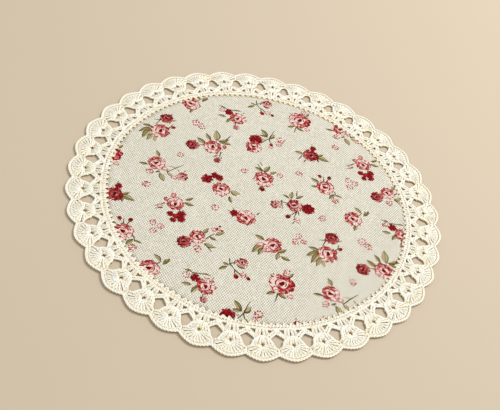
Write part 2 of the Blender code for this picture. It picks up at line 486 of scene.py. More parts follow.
def v_round(yarn, rng):
    """Four trebles for each fan, the anchors between them, and the chain over their heads."""
    skein = Skein()
    make_posts(skein, V_POSTS + ANCHOR_POSTS, yarn, rng,
               foot_height=1.35, head_height=1.35, belly=0.25, thick=0.85)
    for rows in (V_POSTS[:2], V_POSTS[2:], ANCHOR_POSTS):
        back_posts(skein, rows, yarn)
    back_posts(skein, V_POSTS[1:3], yarn, shorter=3.9)
    line = for_each_fan(LOWER_CHAIN)
    lapped = np.concatenate([line, line[:2] + [[FANS, 0, 0]]])
    steps = 8
    smooth = smooth_path(lapped[None], (len(lapped) - 1) * steps + 1)[0, :-steps]
    links = whole_links(FANS * LOWER_LINKS)
    line = ring(*smooth.T, links * LINK_POINTS)
    skein.lay(plait(line, links, width=0.72, depth=0.34, closed=True), yarn * 1.03, closed=True)
    return skein


def treble_round(yarn, rng):
    """Seven trebles for each fan, spread from one stitch, and the chains beside them."""
    skein = Skein()
    make_posts(skein, TREBLE_POSTS, yarn, rng,
               foot_height=1.35, head_height=0.90, belly=0.65, thick=0.85)
    back_posts(skein, TREBLE_POSTS, yarn)
    for links, places in SIDE_CHAINS:
        every = for_each_fan([places])
        line = smooth_path(spot(*np.moveaxis(every, -1, 0)), links * LINK_POINTS + 1)
        start = rng.uniform(0, FULL, len(line))
        skein.lay(plait(line, links, width=0.64, depth=0.32, start=start), yarn)
    return skein


def from_eye(angles, distance):
    """The turn and radius of points at a distance from a fan's eye."""
    radius = FAN_MIDDLE + distance * np.cos(angles)
    return distance * np.sin(angles) / (FULL * radius / FANS), radius


def fan_reach(angles):
    """How far each treble of a fan runs from the eye: to the rim, or to the gap beside it."""
    tries = np.arange(2.0, 15.0, 0.1)  # distances from the eye, in mm
    turn, radius = from_eye(angles[..., None], tries)
    below_rim = radius < outline_radius(turn, RIM_WIDTH - 0.4)
    beside_gap = np.abs(turn) < np.interp(radius, FAN_SIDE_RADII, FAN_SIDE_TURNS)
    return tries[(below_rim & beside_gap).sum(-1) - 1]


def fan_round(yarn, rng):
    """The trebles of each fan, spread from its eye, the joins between fans, and the heads."""
    skein = Skein()
    spread = math.radians(FAN_SPREAD_DEG)
    trebles = np.linspace(-spread, spread, FAN_TREBLES)
    fan = np.arange(FANS)[:, None]
    for angles, height, thicker, wrapped in (
        (trebles, 1.35, np.linspace(0.66, 1.05, 8), True),
        ((trebles[1:] + trebles[:-1]) / 2, 0.80, np.linspace(0.9, 1.75, 5), False),
    ):
        angles = angles + rng.normal(0, 0.018, (FANS, len(angles)))
        eye = FAN_FOOT_REACH * (0.66 + 0.34 * np.cos(angles) ** 2)
        ends = []
        for distance in (eye + rng.normal(0, 0.12, angles.shape), fan_reach(angles)):
            turn, radius = from_eye(angles, distance)
            ends.append(spot(turn + fan, radius, height).reshape(-1, 3))
        if wrapped:
            lines = posts(*ends, foot_width=0.12, head_width=1.45, thick=0.90, wraps=1.15,
                          belly=0.35, count=len(thicker), rng=rng)
        else:
            lines = straight(*ends, len(thicker))
        skein.lay(lines, yarn * thicker)
    make_posts(skein, (JOIN_POST,), yarn, rng,
               foot_height=1.1, head_height=1.2, belly=0.2, thick=0.7)
    links = FANS * RIM_STITCHES
    turns = np.arange(links * 3) / links / 3 * FANS
    heads = ring(turns, outline_radius(turns, RIM_WIDTH + 0.2), 0.9, links * 3)
    chain = plait(heads, links, width=0.55, depth=0.2, closed=True)
    skein.lay(chain[:2], yarn * WRAPPED, closed=True)
    return skein


def rim_round(yarn, rng):
    """The last round: short stitches along the fans, with their heads in a chain at the edge."""
    skein = Skein()
    fine = np.arange(FANS * RIM_STEPS) / RIM_STEPS

    def softened(inset):
        """The outline's radius with its notches rounded as yarn rounds them."""
        radius = outline_radius(fine, inset)
        window = np.hanning(2 * NOTCH_REACH + 3)[1:-1]
        wrapped = np.concatenate([radius[-NOTCH_REACH:], radius, radius[:NOTCH_REACH]])
        return np.convolve(wrapped, window / window.sum(), "valid")

    links = whole_links(FANS * RIM_STITCHES)
    heads = ring(fine, softened(0.80), 1.70, links * 5)
    chain = plait(heads, links, width=0.66, depth=0.42, closed=True)
    skein.lay(chain, yarn * 1.12, closed=True)
    back = ring(fine, softened(1.40), 0.70, links * 3)
    chain = plait(back, links, width=0.60, depth=0.15, start=1.0, closed=True)
    skein.lay(chain[:2], yarn * 1.2, closed=True)

    stitch = (np.arange(FANS * RIM_STITCHES) + 0.5) / RIM_STITCHES
    stitch = stitch + rng.normal(0, 0.004, stitch.shape)
    for side in (-1, 1):
        lean = side * 0.026 + 0.010
        places = []
        for inset, share, height in RIM_LEG:
            turn = stitch + lean * share
            radius = np.interp(turn, fine, softened(inset), period=FANS)
            places.append(spot(turn, radius, height))
        skein.lay_through(places, 7, yarn * 1.1)
    return skein


# ---------------------------------------------------------------- shader sums
def plug(socket, value):
    """Sets a socket's value, or links a wire to it."""
    if isinstance(value, Wire):
        socket.id_data.links.new(value.socket, socket)
    else:
        socket.default_value = value


class Wire:
    """A node's output that takes part in sums: an operator adds its Math node."""

    def __init__(self, socket):
        self.socket = socket

    def reckon(self, operation, *values):
        node = self.socket.id_data.nodes.new("ShaderNodeMath")
        node.operation = operation
        for socket, value in zip(node.inputs, values):
            plug(socket, value)
        return Wire(node.outputs[0])

    def __add__(self, other):
        return self.reckon("ADD", self, other)

    def __sub__(self, other):
        return self.reckon("SUBTRACT", self, other)

    def __rsub__(self, other):
        return self.reckon("SUBTRACT", other, self)

    def __mul__(self, other):
        return self.reckon("MULTIPLY", self, other)

    def __truediv__(self, other):
        return self.reckon("DIVIDE", self, other)

    def __pow__(self, other):
        return self.reckon("POWER", self, other)

    def __abs__(self):
        return self.reckon("ABSOLUTE", self)

    __radd__ = __add__
    __rmul__ = __mul__

    def sine(self):
        return self.reckon("SINE", self)

    def floor(self):
        return self.reckon("FLOOR", self)

    def clipped(self):
        node = self.reckon("ADD", self, 0.0)
        node.socket.node.use_clamp = True
        return node


RELIEF_DEPTH = 0.12 * MM


class Finish:
    """A material being mixed, with its Principled shader."""

    def __init__(self, name, **sockets):
        self.material = bpy.data.materials.new(name)
        self.material.use_nodes = True
        self.tree = self.material.node_tree
        self.shader = self.tree.nodes["Principled BSDF"]
        self.set(**sockets)

    def set(self, **sockets):
        """Feeds the shader's sockets, whose names are written with _ for a space."""
        for name, value in sockets.items():
            plug(self.shader.inputs[name.replace("_", " ")], value)

    def node(self, kind, settings=(), values=(), output=0):
        """Adds a node: its settings first, then the values or wires of its sockets."""
        node = self.tree.nodes.new("ShaderNode" + kind)
        for name, value in dict(settings).items():
            setattr(node, name, value)
        for name, value in dict(values).items():
            plug(node.inputs[name], value)
        return Wire(node.outputs[output])

    def blend(self, share, low, high):
        """A colour between two."""
        return self.node("Mix", {"data_type": "RGBA"}, {0: share, 6: low, 7: high}, 2)

    def split(self, vector):
        """The three numbers of a vector."""
        first = self.node("SeparateXYZ", values={0: vector})
        return [Wire(socket) for socket in first.socket.node.outputs]

    def noise(self, vector, scale, detail=2.0, rough=0.5):
        """Cloudy noise from 0 to 1."""
        return self.node(
            "TexNoise", {"normalize": True},
            {"Vector": vector, "Scale": scale, "Detail": detail, "Roughness": rough},
        )

    def bump(self, height, strength):
        """Raises fine relief on the surface."""
        self.set(Normal=self.node("Bump", values={
            "Strength": strength, "Distance": RELIEF_DEPTH, "Height": height}))


def linear(colour):
    """A screen colour as light, with an alpha of one."""
    light = (c / 12.92 if c <= 0.04045 else ((c + 0.055) / 1.055) ** 2.4 for c in colour)
    return (*light, 1.0)


PLIES = 3
PLY_LENGTH_MM = 2.4
# Painted shade: the cotton is left unshaded from this height upwards, and takes its full painted
# shade 1 mm below it.
PAINTED_SHADE_BELOW_MM = 1.84


def cotton_finish(settings):
    """Mercerised three-ply cotton: twisted plies, fine fibres and a soft gloss, with shade painted
    between the plies and low down between the stitches.
    """
    finish = Finish("Cotton_yarn", Roughness=0.45, IOR=1.5)
    finish.set(Sheen_Weight=0.08, Sheen_Roughness=0.5, Specular_IOR_Level=0.6)
    along, around, _ = finish.split(finish.node("UVMap", {"uv_map": "yarn"}))
    place = finish.node("TexCoord", output=3)
    # depth: painted shade, which grows as the yarn lies lower between the stitches
    depth = (PAINTED_SHADE_BELOW_MM - finish.split(place)[2] * (1 / MM)).clipped()
    ply = abs(((around * PLIES + along / PLY_LENGTH_MM) * math.pi).sine())
    fibre = finish.noise(place, 4200.0, 2.0, 0.6)
    cloud = finish.noise(place, 55.0, 2.0)
    # shade: cloudy and fibre tone at random, and painted shade in the valleys between the plies
    shade = (cloud * 0.3 - 0.20 + (1.0 - ply ** 0.6) * 1.1 + fibre * 0.15).clipped()
    cotton = finish.blend(shade, linear(settings.yarn_light), linear(settings.yarn_tone_and_painted_shade))
    finish.set(Base_Color=finish.blend(depth, cotton, linear(settings.yarn_painted_shade)))
    finish.bump(ply ** 0.55 * 0.8 + fibre * 0.25, strength=0.5)
    return finish.material


# ---------------------------------------------------------------- the print
# The cloth lies a little turned: its warp runs this far anticlockwise of the near-far axis.
WARP_TURN_DEG = 3.1
WEFT_THICKER = 1.4
COLUMN_STEP = (171.5, -3.0)
HALF_DROP = (-0.5, -106.6)

# Every motif is charted in mm across and up the cloth, for one repeat. size is a rose's
# width, a blossom's width, or a leaf's, bud's or stem's length; turn is the way it points,
# or the side of a rose where its pale petals are, in degrees anticlockwise from across.
Motif = namedtuple("Motif", "kind across up size turn tone")
# The tone of a kind of motif where the chart gives none.
USUAL_TONES = {"leaf": "solid", "stem": "olive", "blossom": "pale", "rose": "pink"}


def chart(text):
    """Reads a chart: kind across up size turn, and the tone where it isn't the usual one."""
    rows = []
    for line in text.split(";"):
        kind, *numbers = line.split()
        tone = numbers.pop() if len(numbers) > 4 else USUAL_TONES[kind]
        rows.append(Motif(kind, *map(float, numbers), tone))
    return rows


PRINT = chart("""
leaf -0.5 32 10.5 62; leaf -2 32.5 8.5 150; leaf 5.5 31 7.5 40 lined;
stem -0.5 33 11 131; stem -3 40.5 6 118 faint; rose 0 22.5 19.5 270;
leaf -1 14.5 8.5 250 thin; leaf 1.2 11 5 300 thin; bud 0 13.5 7 270 dark;
blossom 15 32.5 6.5 0; blossom -19 28.5 6.5 40 full; blossom 33.5 40.5 6.5 80 full;

leaf 28 5 9.5 88 lined; leaf 32.5 6.5 8.5 38; leaf 26.5 5 7 152; stem 33 10 7 90;
stem 27 -1.2 9.5 178; stem 19.5 1.5 11 280; stem 35 -8 10 230;
stem 35 -8 11 257; stem 35.5 -8 6 285; rose 14.3 -5.8 10.5 20 red;
rose 45 -3.5 12.8 300 dark; rose 32 -2.2 15 350 red; bud 29.3 -15 6.5 230 dark;
leaf 25.5 -17 3 170 thin; blossom 35.5 -20 6 0; leaf 33 -22 4.5 250 thin;
leaf 36 -22 4 315 thin;

leaf -22 -24 4.5 130 thin; leaf -22.5 -30 4 245 thin; leaf -25 -26 4 165 thin;
stem -1.5 -23.5 4 55; rose -22 -27 8 0 dark; rose -11 -29.5 18 80 pale;
blossom -40 -25 7 20 full;

leaf -29.5 -1.2 10 352 pale; leaf -28.5 -2 7 330 lined; leaf -29 -8 8 290;
rose -45.5 14.5 8 90 dark; rose -41 12.5 8 0 dark; rose -52 8 11.5 180 dark;
leaf -43 9.5 5 340 thin; rose -37.3 -1.5 17 300;
blossom 39 -38.5 6 0; blossom 36 -46 6.5 50; blossom 43.5 -44 6 100;

stem -18.5 133.5 6.5 275; stem -18 128 9 311; stem -12.7 122.3 5 275;
stem -13 122.7 10 318; stem -18 128 7 22; leaf -18 126 6 165 lined;
leaf -19.5 124.5 8 215; leaf -11 127.5 7 348; leaf -14 127.5 6.5 82 thin;
rose -7.2 131.5 10.5 280 red; bud -12 119 6.5 290 crimson; blossom -5 118.5 6 30;
bud -2 118 5 310 dark;

leaf 21.5 122 6 135 thin; leaf 34.5 125.5 6.5 60 lined; blossom 31.8 131.5 6 0;
leaf 24 107.5 8 205; leaf 26 107 8.5 332; stem 26 107 10 260;
petal 37 106 6 0 blush; petal 38 119 6.5 80 crimson; petal 37 113.5 6.5 50 crimson;
petal 31.8 110 6 20 crimson; rose 28 117.5 21.5 200;

leaf -46 98.2 8 178 lined; leaf -40.5 98 8.5 240; stem -35.5 92.5 5 270;
stem -47.5 110.3 16 3; stem -50 111.5 5.5 165; leaf -47 110.5 7 150 thin;
leaf -40 110.8 7 12 thin; leaf -30 107.5 3.5 60 thin; blossom -51.5 107.5 6 20 full;
rose -33.8 99.5 16.5 40; rose -44 106 8.8 0 dark; rose -34 86 6.8 40 red;

leaf -2 82.3 11 128; leaf -1.5 82 8 178; leaf 0.5 80.5 6.5 38;
leaf 1 81.5 7.5 56 pale; stem 0 80 14 73; stem 0 80.3 12 232;
stem 0 80 8 290; stem -3.5 77.2 5 180 faint; petal 2.8 68.6 5 0 blush;
bud 2.2 75 5.5 282 red; rose -13 75.2 13.5 90 dark; rose -13.8 64 16 340;
petal -18 59 5.5 60 crimson; petal -13.2 61 4.5 20 crimson;
blossom 12 81.5 8 30; blossom 10 75 6.5 70;

leaf 35.5 69 8.5 170 lined; stem 34.5 67 7.5 243; leaf 39 62.8 6.5 250 thin;
leaf 49.5 70 7.5 36; leaf 49.5 69.3 12 345; leaf 50.5 68 6 280;
leaf 43.8 83 3.5 95 thin; rose 45 80 6.8 0 dark; rose 43.2 69.5 16 200 wine;

leaf 96.5 6 9 140 lined; leaf 98.5 3 8.8 58; leaf 99 3.5 6.5 82 thin;
leaf 99.5 5 6.5 35 thin; stem 93 1.5 6 52; leaf 91.5 -9.5 8 257;
rose 88.6 -3.5 17.5 335;

stem 71.5 -29 4.5 68; stem 65.5 -36.5 8.5 190; stem 63.5 -37 8 248;
leaf 75 -35 5 25 thin; leaf 58 -51 13 215; leaf 57.5 -53 13.5 245;
leaf 58 -49.5 9.5 172; leaf 60 -58 10.5 250 lined; leaf 62 -60 8 285 faint;
rose 69 -33 13.5 300 wine; rose 66 -52.3 18.5 215; stem 71.5 -48 7.5 52;
bud 75 -45.5 5.5 35 red; leaf 75 -43 4.5 72 thin;
blossom 97.5 -29.5 8 10; blossom 103.5 -33.5 7.5 60;

leaf -60 53.5 10.5 145; leaf -56 60 9.5 125; leaf -50.3 60.5 14 99 lined;
leaf -49 61.5 12.5 350; leaf -47 61 9 32; stem -41.5 64.5 9 65;
stem -60 51.5 7 188; stem -44 47 9 262; leaf -46 41.5 6.5 218 thin;
leaf -44 41 4.5 300 thin; petal -41.8 54.5 5.5 90 rose; rose -72 48.5 13 45 wine;
rose -53 51 18 250; rose -46.2 35 7.2 60 wine;

leaf -99.5 22.5 8.5 118 lined; leaf -107.5 10.5 7.8 180; leaf -95.5 2.5 10.5 302 lined;
stem -91 9.5 5.5 300; stem -88.7 5.8 18.5 46; stem -82 13 8 178 faint;
petal -92 9 6.5 0 blush; leaf -89 5 7 330 pale; leaf -95 5 5 215;
leaf -78 8.5 4.5 125 thin; leaf -74.5 9 4.5 60 thin; petal -81.5 0.5 6 0 blush;
rose -74.3 3.5 11 230 red; rose -100 14 16.5 345; blossom -104 2 7 0 full;
blossom -81 31 6.5 0 full; blossom -104.5 -14.5 7 50 full;

leaf -67 -24 7.5 35; leaf -67.5 -27 8.5 350; stem -84 -32 10 215;
stem -85 -38 7.5 205; petal -87.8 -37 5 30 blush; petal -78 -21.3 6.5 90 pink;
petal -83.5 -27.5 6 150 rose; leaf -70.5 -40 5 82 thin; leaf -68 -38.5 3.5 60 thin;
rose -67.5 -41.5 8 0 dark; rose -67 -47.2 8 0 dark; rose -77.3 -43.5 6.5 0 dark;
rose -73.8 -49.8 6 0 dark; petal -72 -44.5 7 40 crimson; rose -75 -30.5 15.8 90;
blossom -90 -57 6.5 0; blossom -82.5 -60 6.5 50; blossom -88 -66 6.5 90;

stem 58 37 7 96; stem 61 37.5 5 72; leaf 52.8 43.5 3.5 155 thin;
leaf 53.5 35.5 8.5 160; leaf 52.5 29 6.5 190; leaf 69.5 23.5 9 235;
leaf 69.5 22.5 9 345 thin; stem 69 27 6.5 290; bud 54.8 40.5 5.5 110 red;
bud 62.3 40.5 6 75 dark; rose 60 29.5 18 330; blossom 70.5 14.5 7 0;

leaf -46 -58.5 8 62 lined; stem -42.5 -63.5 10 50; leaf -40 -60.5 7 340;
leaf -43.5 -69 10.5 348 lined; stem -43 -70 10 318; blossom -48 -76 7 0;
leaf -35 -57.5 9 36 lined; petal -37 -51.5 6 0 blush; petal -33.8 -50.2 5 0 blush;
petal -34.8 -50 3.2 0 crimson; petal -30 -51 3 0 crimson; petal -32.5 -46.5 2.4 0 dark;
rose -60.5 -71.5 13 0 wine; rose -50 -63.5 15 300;

leaf 8 -51 9 155; leaf 7.5 -54.5 15 235; leaf 8 -60 9.5 248;
leaf 21 -62.5 9 35; leaf 24.5 -66 8.5 345; leaf 22 -62 8.5 262 lined;
petal 5 -57 6.5 0 blush; petal 10.5 -62.5 6.5 0 blush; rose 15.5 -55.5 17.5 200;
blossom 59 -11 7 30 full
""")

# Each ink and how much of the cloth it covers.
INKS = {
    "dark": ((0.310, 0.000, 0.020), 0.99),
    "wine": ((0.430, 0.010, 0.030), 0.98),
    "crimson": ((0.545, 0.040, 0.070), 0.98),
    "scarlet": ((0.610, 0.150, 0.155), 0.97),
    "rose": ((0.633, 0.300, 0.288), 0.95),
    "pink": ((0.720, 0.475, 0.450), 0.92),
    "blush": ((0.800, 0.626, 0.590), 0.86),
    "cream": ((0.865, 0.775, 0.735), 0.82),
    "moss": ((0.295, 0.235, 0.045), 0.97),
    "olive": ((0.440, 0.388, 0.220), 0.95),
    "sage": ((0.545, 0.495, 0.325), 0.90),
    "straw": ((0.660, 0.605, 0.440), 0.85),
}


def turned(x, y, turn_deg, along, side=0.0):
    """The place that lies so far along a way from x and y, and so far to its left."""
    a = math.radians(turn_deg)
    return (x + along * math.cos(a) - side * math.sin(a),
            y + along * math.sin(a) + side * math.cos(a))


class Drawing:
    """The print's shapes in painting order, each a closed loop of points with its ink."""

    def __init__(self, rng):
        self.rng = rng
        self.shapes = []

    def add(self, across, up, ink):
        """Adds a shape by the places of its points."""
        self.shapes.append((np.stack([across, up], 1), ink))

    def strip(self, x, y, length, turn_deg, bend, half_widths, ink, pointed=False):
        """Half widths set off to both sides of a bent line; a pointed strip has single ends."""
        t = np.linspace(0, 1, len(half_widths))
        back = slice(-2, 0, -1) if pointed else slice(None, None, -1)
        bent = bend * length * 4 * t * (1 - t)
        along = np.concatenate([length * t, (length * t)[back]])
        side = np.concatenate([bent + half_widths, (bent - half_widths)[back]])
        self.add(*turned(x, y, turn_deg, along, side), ink)

    def lobe(self, x, y, length, width, turn_deg, ink, wave=0.08, points=14):
        """A petal: an oval with a wavy edge."""
        t = np.arange(points) / points * FULL
        swell = (1 + wave * np.cos(3 * t + self.rng.uniform(0, FULL))
                 + wave * 0.6 * np.cos(5 * t + self.rng.uniform(0, FULL)))
        along, side = length / 2 * swell * np.cos(t), width / 2 * swell * np.sin(t)
        self.add(*turned(x, y, turn_deg, along, side), ink)

    def arc(self, x, y, radius, start_deg, sweep_deg, thick, ink, points=9, squash=1.0):
        """A brush stroke curved round a middle, thin at both ends."""
        t = np.linspace(0, 1, points)
        angle = np.radians(start_deg + sweep_deg * t)
        body = thick / 2 * np.sin(math.pi * (0.06 + 0.88 * t)) ** 0.7
        body = body * self.rng.uniform(0.8, 1.2, points)
        outer, inner = radius + body, radius - body
        angles = np.concatenate([angle, angle[::-1]])
        radii = np.concatenate([outer, inner[::-1]])
        self.add(x + radii * np.cos(angles), y + squash * radii * np.sin(angles), ink)

    def stroke(self, x, y, length, turn_deg, thick, ink, bend=0.0, points=6):
        """A straight or bent stroke from its foot, thin at its tip."""
        t = np.linspace(0, 1, points)
        body = thick / 2 * (1 - 0.55 * t) * self.rng.uniform(0.85, 1.15, points)
        self.strip(x, y, length, turn_deg, bend, body, ink)

    def blade(self, x, y, length, width, turn_deg, ink, bend=0.0, points=7):
        """A leaf blade: pointed at both ends, widest before the middle."""
        t = np.linspace(0, 1, points)
        body = width / 2 * np.sin(math.pi * t**0.85)
        self.strip(x, y, length, turn_deg, bend, body, ink, pointed=True)

    def leaf(self, x, y, size, turn, tone):
        """A leaf: thin, or with a pale inside and a vein."""
        bend = self.rng.uniform(-0.06, 0.06)
        if tone == "thin":
            self.blade(x, y, size, size * 0.24, turn, "olive", bend)
            return
        width = size * self.rng.uniform(0.42, 0.5)
        outer, inner, vein = {
            "solid": ("moss", "sage", "moss"),
            "lined": ("moss", "straw", "olive"),
            "pale": ("olive", "straw", "sage"),
            "faint": ("sage", "straw", "sage"),
        }[tone]
        size *= 1.08
        self.blade(x, y, size, width, turn, outer, bend)
        inside = turned(x, y, turn, size * 0.07, 0.28)
        self.blade(*inside, size * 0.86, width - 1.3, turn, inner, bend)
        if tone == "solid":
            lit_side = turned(x, y, turn, size * 0.10, width * 0.19)
            self.blade(*lit_side, size * 0.74, width * 0.42, turn, "straw", bend)
        if tone in ("solid", "lined"):
            self.stroke(x, y, size * 0.85, turn, 1.0, vein, bend)

    def stem(self, x, y, size, turn, tone):
        """A bare stalk."""
        ink = "sage" if tone == "faint" else "moss"
        self.stroke(x, y, size, turn, 1.30, ink, self.rng.uniform(-0.05, 0.05))

    def petal(self, x, y, size, turn, tone):
        """A single petal, lined and shaded."""
        line, inner = {
            "blush": ("rose", "cream"),
            "pink": ("rose", "blush"),
            "rose": ("crimson", "pink"),
            "crimson": ("wine", "scarlet"),
            "dark": ("dark", "wine"),
        }[tone]
        self.lobe(x, y, size, size * 0.75, turn, line, 0.1)
        self.lobe(x, y, size * 0.84, size * 0.60, turn, tone, 0.12)
        self.lobe(x, y, size * 0.5, size * 0.34, turn + 30, inner, 0.14, 9)
        self.arc(x, y, size * 0.2, turn + 200, 130, size * 0.12, line, 6)

    def bud(self, x, y, size, turn, tone):
        """A closed bud in its green cup, from the cup's foot."""
        main, shade, gleam = {
            "dark": ("wine", "dark", "rose"),
            "crimson": ("crimson", "wine", "rose"),
            "red": ("crimson", "wine", "pink"),
        }[tone]
        for lean in (-28, 26):
            foot = turned(x, y, turn, size * 0.02)
            self.blade(*foot, size * 0.75, size * 0.24, turn + lean, "olive")
        self.lobe(*turned(x, y, turn, size * 0.55), size * 0.85, size * 0.68, turn, main, 0.06, 12)
        inside = turned(x, y, turn, size * 0.60, size * 0.12)
        self.lobe(*inside, size * 0.55, size * 0.3, turn + 8, shade, 0.08, 10)
        middle = turned(x, y, turn, size * 0.52)
        self.arc(*middle, size * 0.26, turn + 100, 110, size * 0.09, gleam, 7)
        self.blade(x, y, size * 0.42, size * 0.3, turn, "olive")

    def blossom(self, x, y, size, turn, tone):
        """A tiny flower: pale petals, each with loose red dabs round its end."""
        red_share = 0.7 if tone == "full" else 0.4
        for k in range(5):
            bearing = turn + 72 * k + self.rng.uniform(-12, 12)
            place = turned(x, y, bearing, size * self.rng.uniform(0.26, 0.34))
            ink = "pink" if self.rng.random() < 0.3 else "cream"
            self.lobe(*place, size * 0.34, size * 0.28, bearing, ink, 0.12, 8)
            for lean in (-0.36, 0.24):
                beside = bearing + math.degrees(lean + self.rng.uniform(-0.14, 0.14))
                place = turned(x, y, beside, size * self.rng.uniform(0.32, 0.54))
                length = size * self.rng.uniform(0.22, 0.30)
                ink = "crimson" if self.rng.random() < red_share else "scarlet"
                self.lobe(*place, length, size * 0.19, beside, ink, 0.1, 6)
        self.lobe(x, y, size * 0.24, size * 0.18, turn, "crimson", 0.12, 8)

    def rose(self, x, y, size, turn, tone):
        """A full rose: frilled outer petals, a cup of curled petals and a deep heart."""
        line, body, mid, light, gleam, heart = {
            "pale": ("crimson", "scarlet", "pink", "cream", "cream", "wine"),
            "pink": ("crimson", "scarlet", "pink", "cream", "cream", "dark"),
            "red": ("wine", "crimson", "rose", "blush", "cream", "dark"),
            "wine": ("dark", "crimson", "scarlet", "rose", "blush", "dark"),
            "dark": ("dark", "wine", "crimson", "crimson", "rose", "dark"),
        }[tone]
        rng = self.rng
        r = size / 2
        petals = 8 if size > 12 else 6

        def along(bearing, reach):
            return turned(x, y, bearing, reach)

        for k in range(petals):
            bearing = turn + 360 * k / petals + rng.uniform(-9, 9)
            lit = math.cos(math.radians(bearing - turn))
            fill = light if lit > 0.2 else mid
            edge = body if lit > 0.0 else line
            reach = r * rng.uniform(0.62, 0.72)
            long, wide = r * rng.uniform(0.62, 0.76), r * rng.uniform(0.66, 0.80)
            self.lobe(*along(bearing, reach), long, wide, bearing, edge, 0.14, 12)
            inside = along(bearing, reach - r * 0.03)
            self.lobe(*inside, long * 0.86, wide * 0.84, bearing, fill, 0.14, 11)
            if lit < 0.3:
                low = bearing + rng.uniform(-14, 14)
                place = along(low, reach + r * rng.uniform(-0.16, 0.12))
                self.lobe(*place, long * 0.36, wide * 0.52, low, body, 0.16, 8)
            fold = bearing + rng.uniform(-10, 10)
            inwards = fold + 180 + rng.uniform(-25, 25)
            ink = body if fill == light else line
            self.stroke(*along(fold, r * 0.92), r * 0.30, inwards, r * 0.09, ink, 0, 3)
        for k in range(petals):
            between = turn + 360 * (k + 0.5) / petals + rng.uniform(-10, 10)
            lit = math.cos(math.radians(between - turn))
            self.stroke(*along(between, r * rng.uniform(0.86, 1.02)), r * rng.uniform(0.30, 0.45),
                        between + 180 + rng.uniform(-30, 30), r * (0.13 if lit > 0.3 else 0.20),
                        line, rng.uniform(-0.1, 0.1), 4)
            frayed = between + rng.uniform(-16, 16)
            self.lobe(*along(frayed, r * rng.uniform(0.96, 1.08)), r * 0.22, r * 0.13, frayed,
                      (mid, body, line, light)[int(rng.integers(4))], 0.15, 6)
        for k in range(4):
            self.arc(x, y, r * rng.uniform(0.70, 0.90), turn - 100 + 50 * k + rng.uniform(-12, 12),
                     rng.uniform(20, 36), r * 0.10, gleam, 5)
        # the cup, set a little away from the lit side: pale, with a broken line round it
        hx, hy = along(turn + 180, 0.08 * r)
        spin = turn + rng.uniform(-40, 40)
        self.lobe(hx, hy, r * 1.18, r * 1.02, spin, light, 0.09, 16)
        for k in range(4):
            self.arc(hx, hy, r * rng.uniform(0.50, 0.57), spin + 90 * k + rng.uniform(-15, 15),
                     rng.uniform(70, 96), r * rng.uniform(0.12, 0.18), line, 8, 0.92)
        for k, ink in enumerate((body, line, mid)):
            self.arc(hx, hy, r * 0.35, spin + 120 * k + rng.uniform(-15, 15), rng.uniform(60, 95),
                     r * 0.11, ink, 7)
        self.lobe(hx, hy, r * 0.58, r * 0.44, spin + 30, line, 0.16, 10)
        self.lobe(*along(turn + 180, 0.14 * r), r * 0.40, r * 0.26, spin, heart, 0.2, 8)
        dab = spin + rng.uniform(60, 120)
        self.arc(hx, hy, r * 0.22, dab, 80, r * 0.09, gleam, 5)


PRINT_SEED = 7
# How far outside the cloth a motif's place may lie, and how far in a shape has to reach.
MOTIF_OUTSIDE = 14
SHAPE_INSIDE = 1.0


def draw_print():
    """All shapes of the print that fall on the cloth, in painting order, in the frame's mm."""
    drawing = Drawing(np.random.default_rng(PRINT_SEED))
    motifs = []
    for column in range(-2, 3):
        for drop in range(-3, 4):
            if (column + drop) % 2:
                continue
            across = column * COLUMN_STEP[0] + drop * HALF_DROP[0]
            up = column * COLUMN_STEP[1] + drop * HALF_DROP[1]
            for motif in PRINT:
                x, y = motif.across + across, motif.up + up
                if math.hypot(x, y) < CLOTH_RADIUS + MOTIF_OUTSIDE:
                    motifs.append(motif._replace(across=x, up=y))
    for kind, x, y, size, turn, tone in motifs:
        getattr(drawing, kind)(x, y, size, turn, tone)
    a = math.radians(WARP_TURN_DEG)
    warp_turn = np.array([[math.cos(a), math.sin(a)], [-math.sin(a), math.cos(a)]])
    shapes = []
    for loop, ink in drawing.shapes:
        loop = loop @ warp_turn
        if np.hypot(*loop.T).min() < CLOTH_RADIUS - SHAPE_INSIDE:
            x, y = loop.T
            anticlockwise = (x * np.roll(y, -1) - y * np.roll(x, -1)).sum() > 0
            shapes.append(((loop if anticlockwise else loop[::-1]) - MIDDLE, ink))
    return shapes


CLOTH_TOP = 0.92
CLOTH_FOOT = 0.12
CLOTH_GRID = 4.0
CLOTH_EDGE_STEPS = 8
BARE_CLOTH = (0.0, 0.0, 0.0, 0.0)
# How much of the face's waves the back has, and how far they may go down.
BACK_WAVES = 0.6
BACK_DIP = 0.05


def cloth_height(x, y):
    """The cloth's upper face: nearly flat, with the slow waves of pressed linen."""
    distance = np.hypot(x, y)
    wave = 0.10 * np.sin(x / 31 + 0.6) * np.cos(y / 37) + 0.07 * np.sin((x + 0.7 * y) / 17)
    return CLOTH_TOP + wave * np.clip(1.35 - distance / 110, 0.25, 1)


def triangulate(points, edges, faces):
    """Blender's own constrained triangulation of flat points, edges and loops."""
    return delaunay_2d_cdt([Vector(p) for p in points], edges, faces, 0, 1e-5)


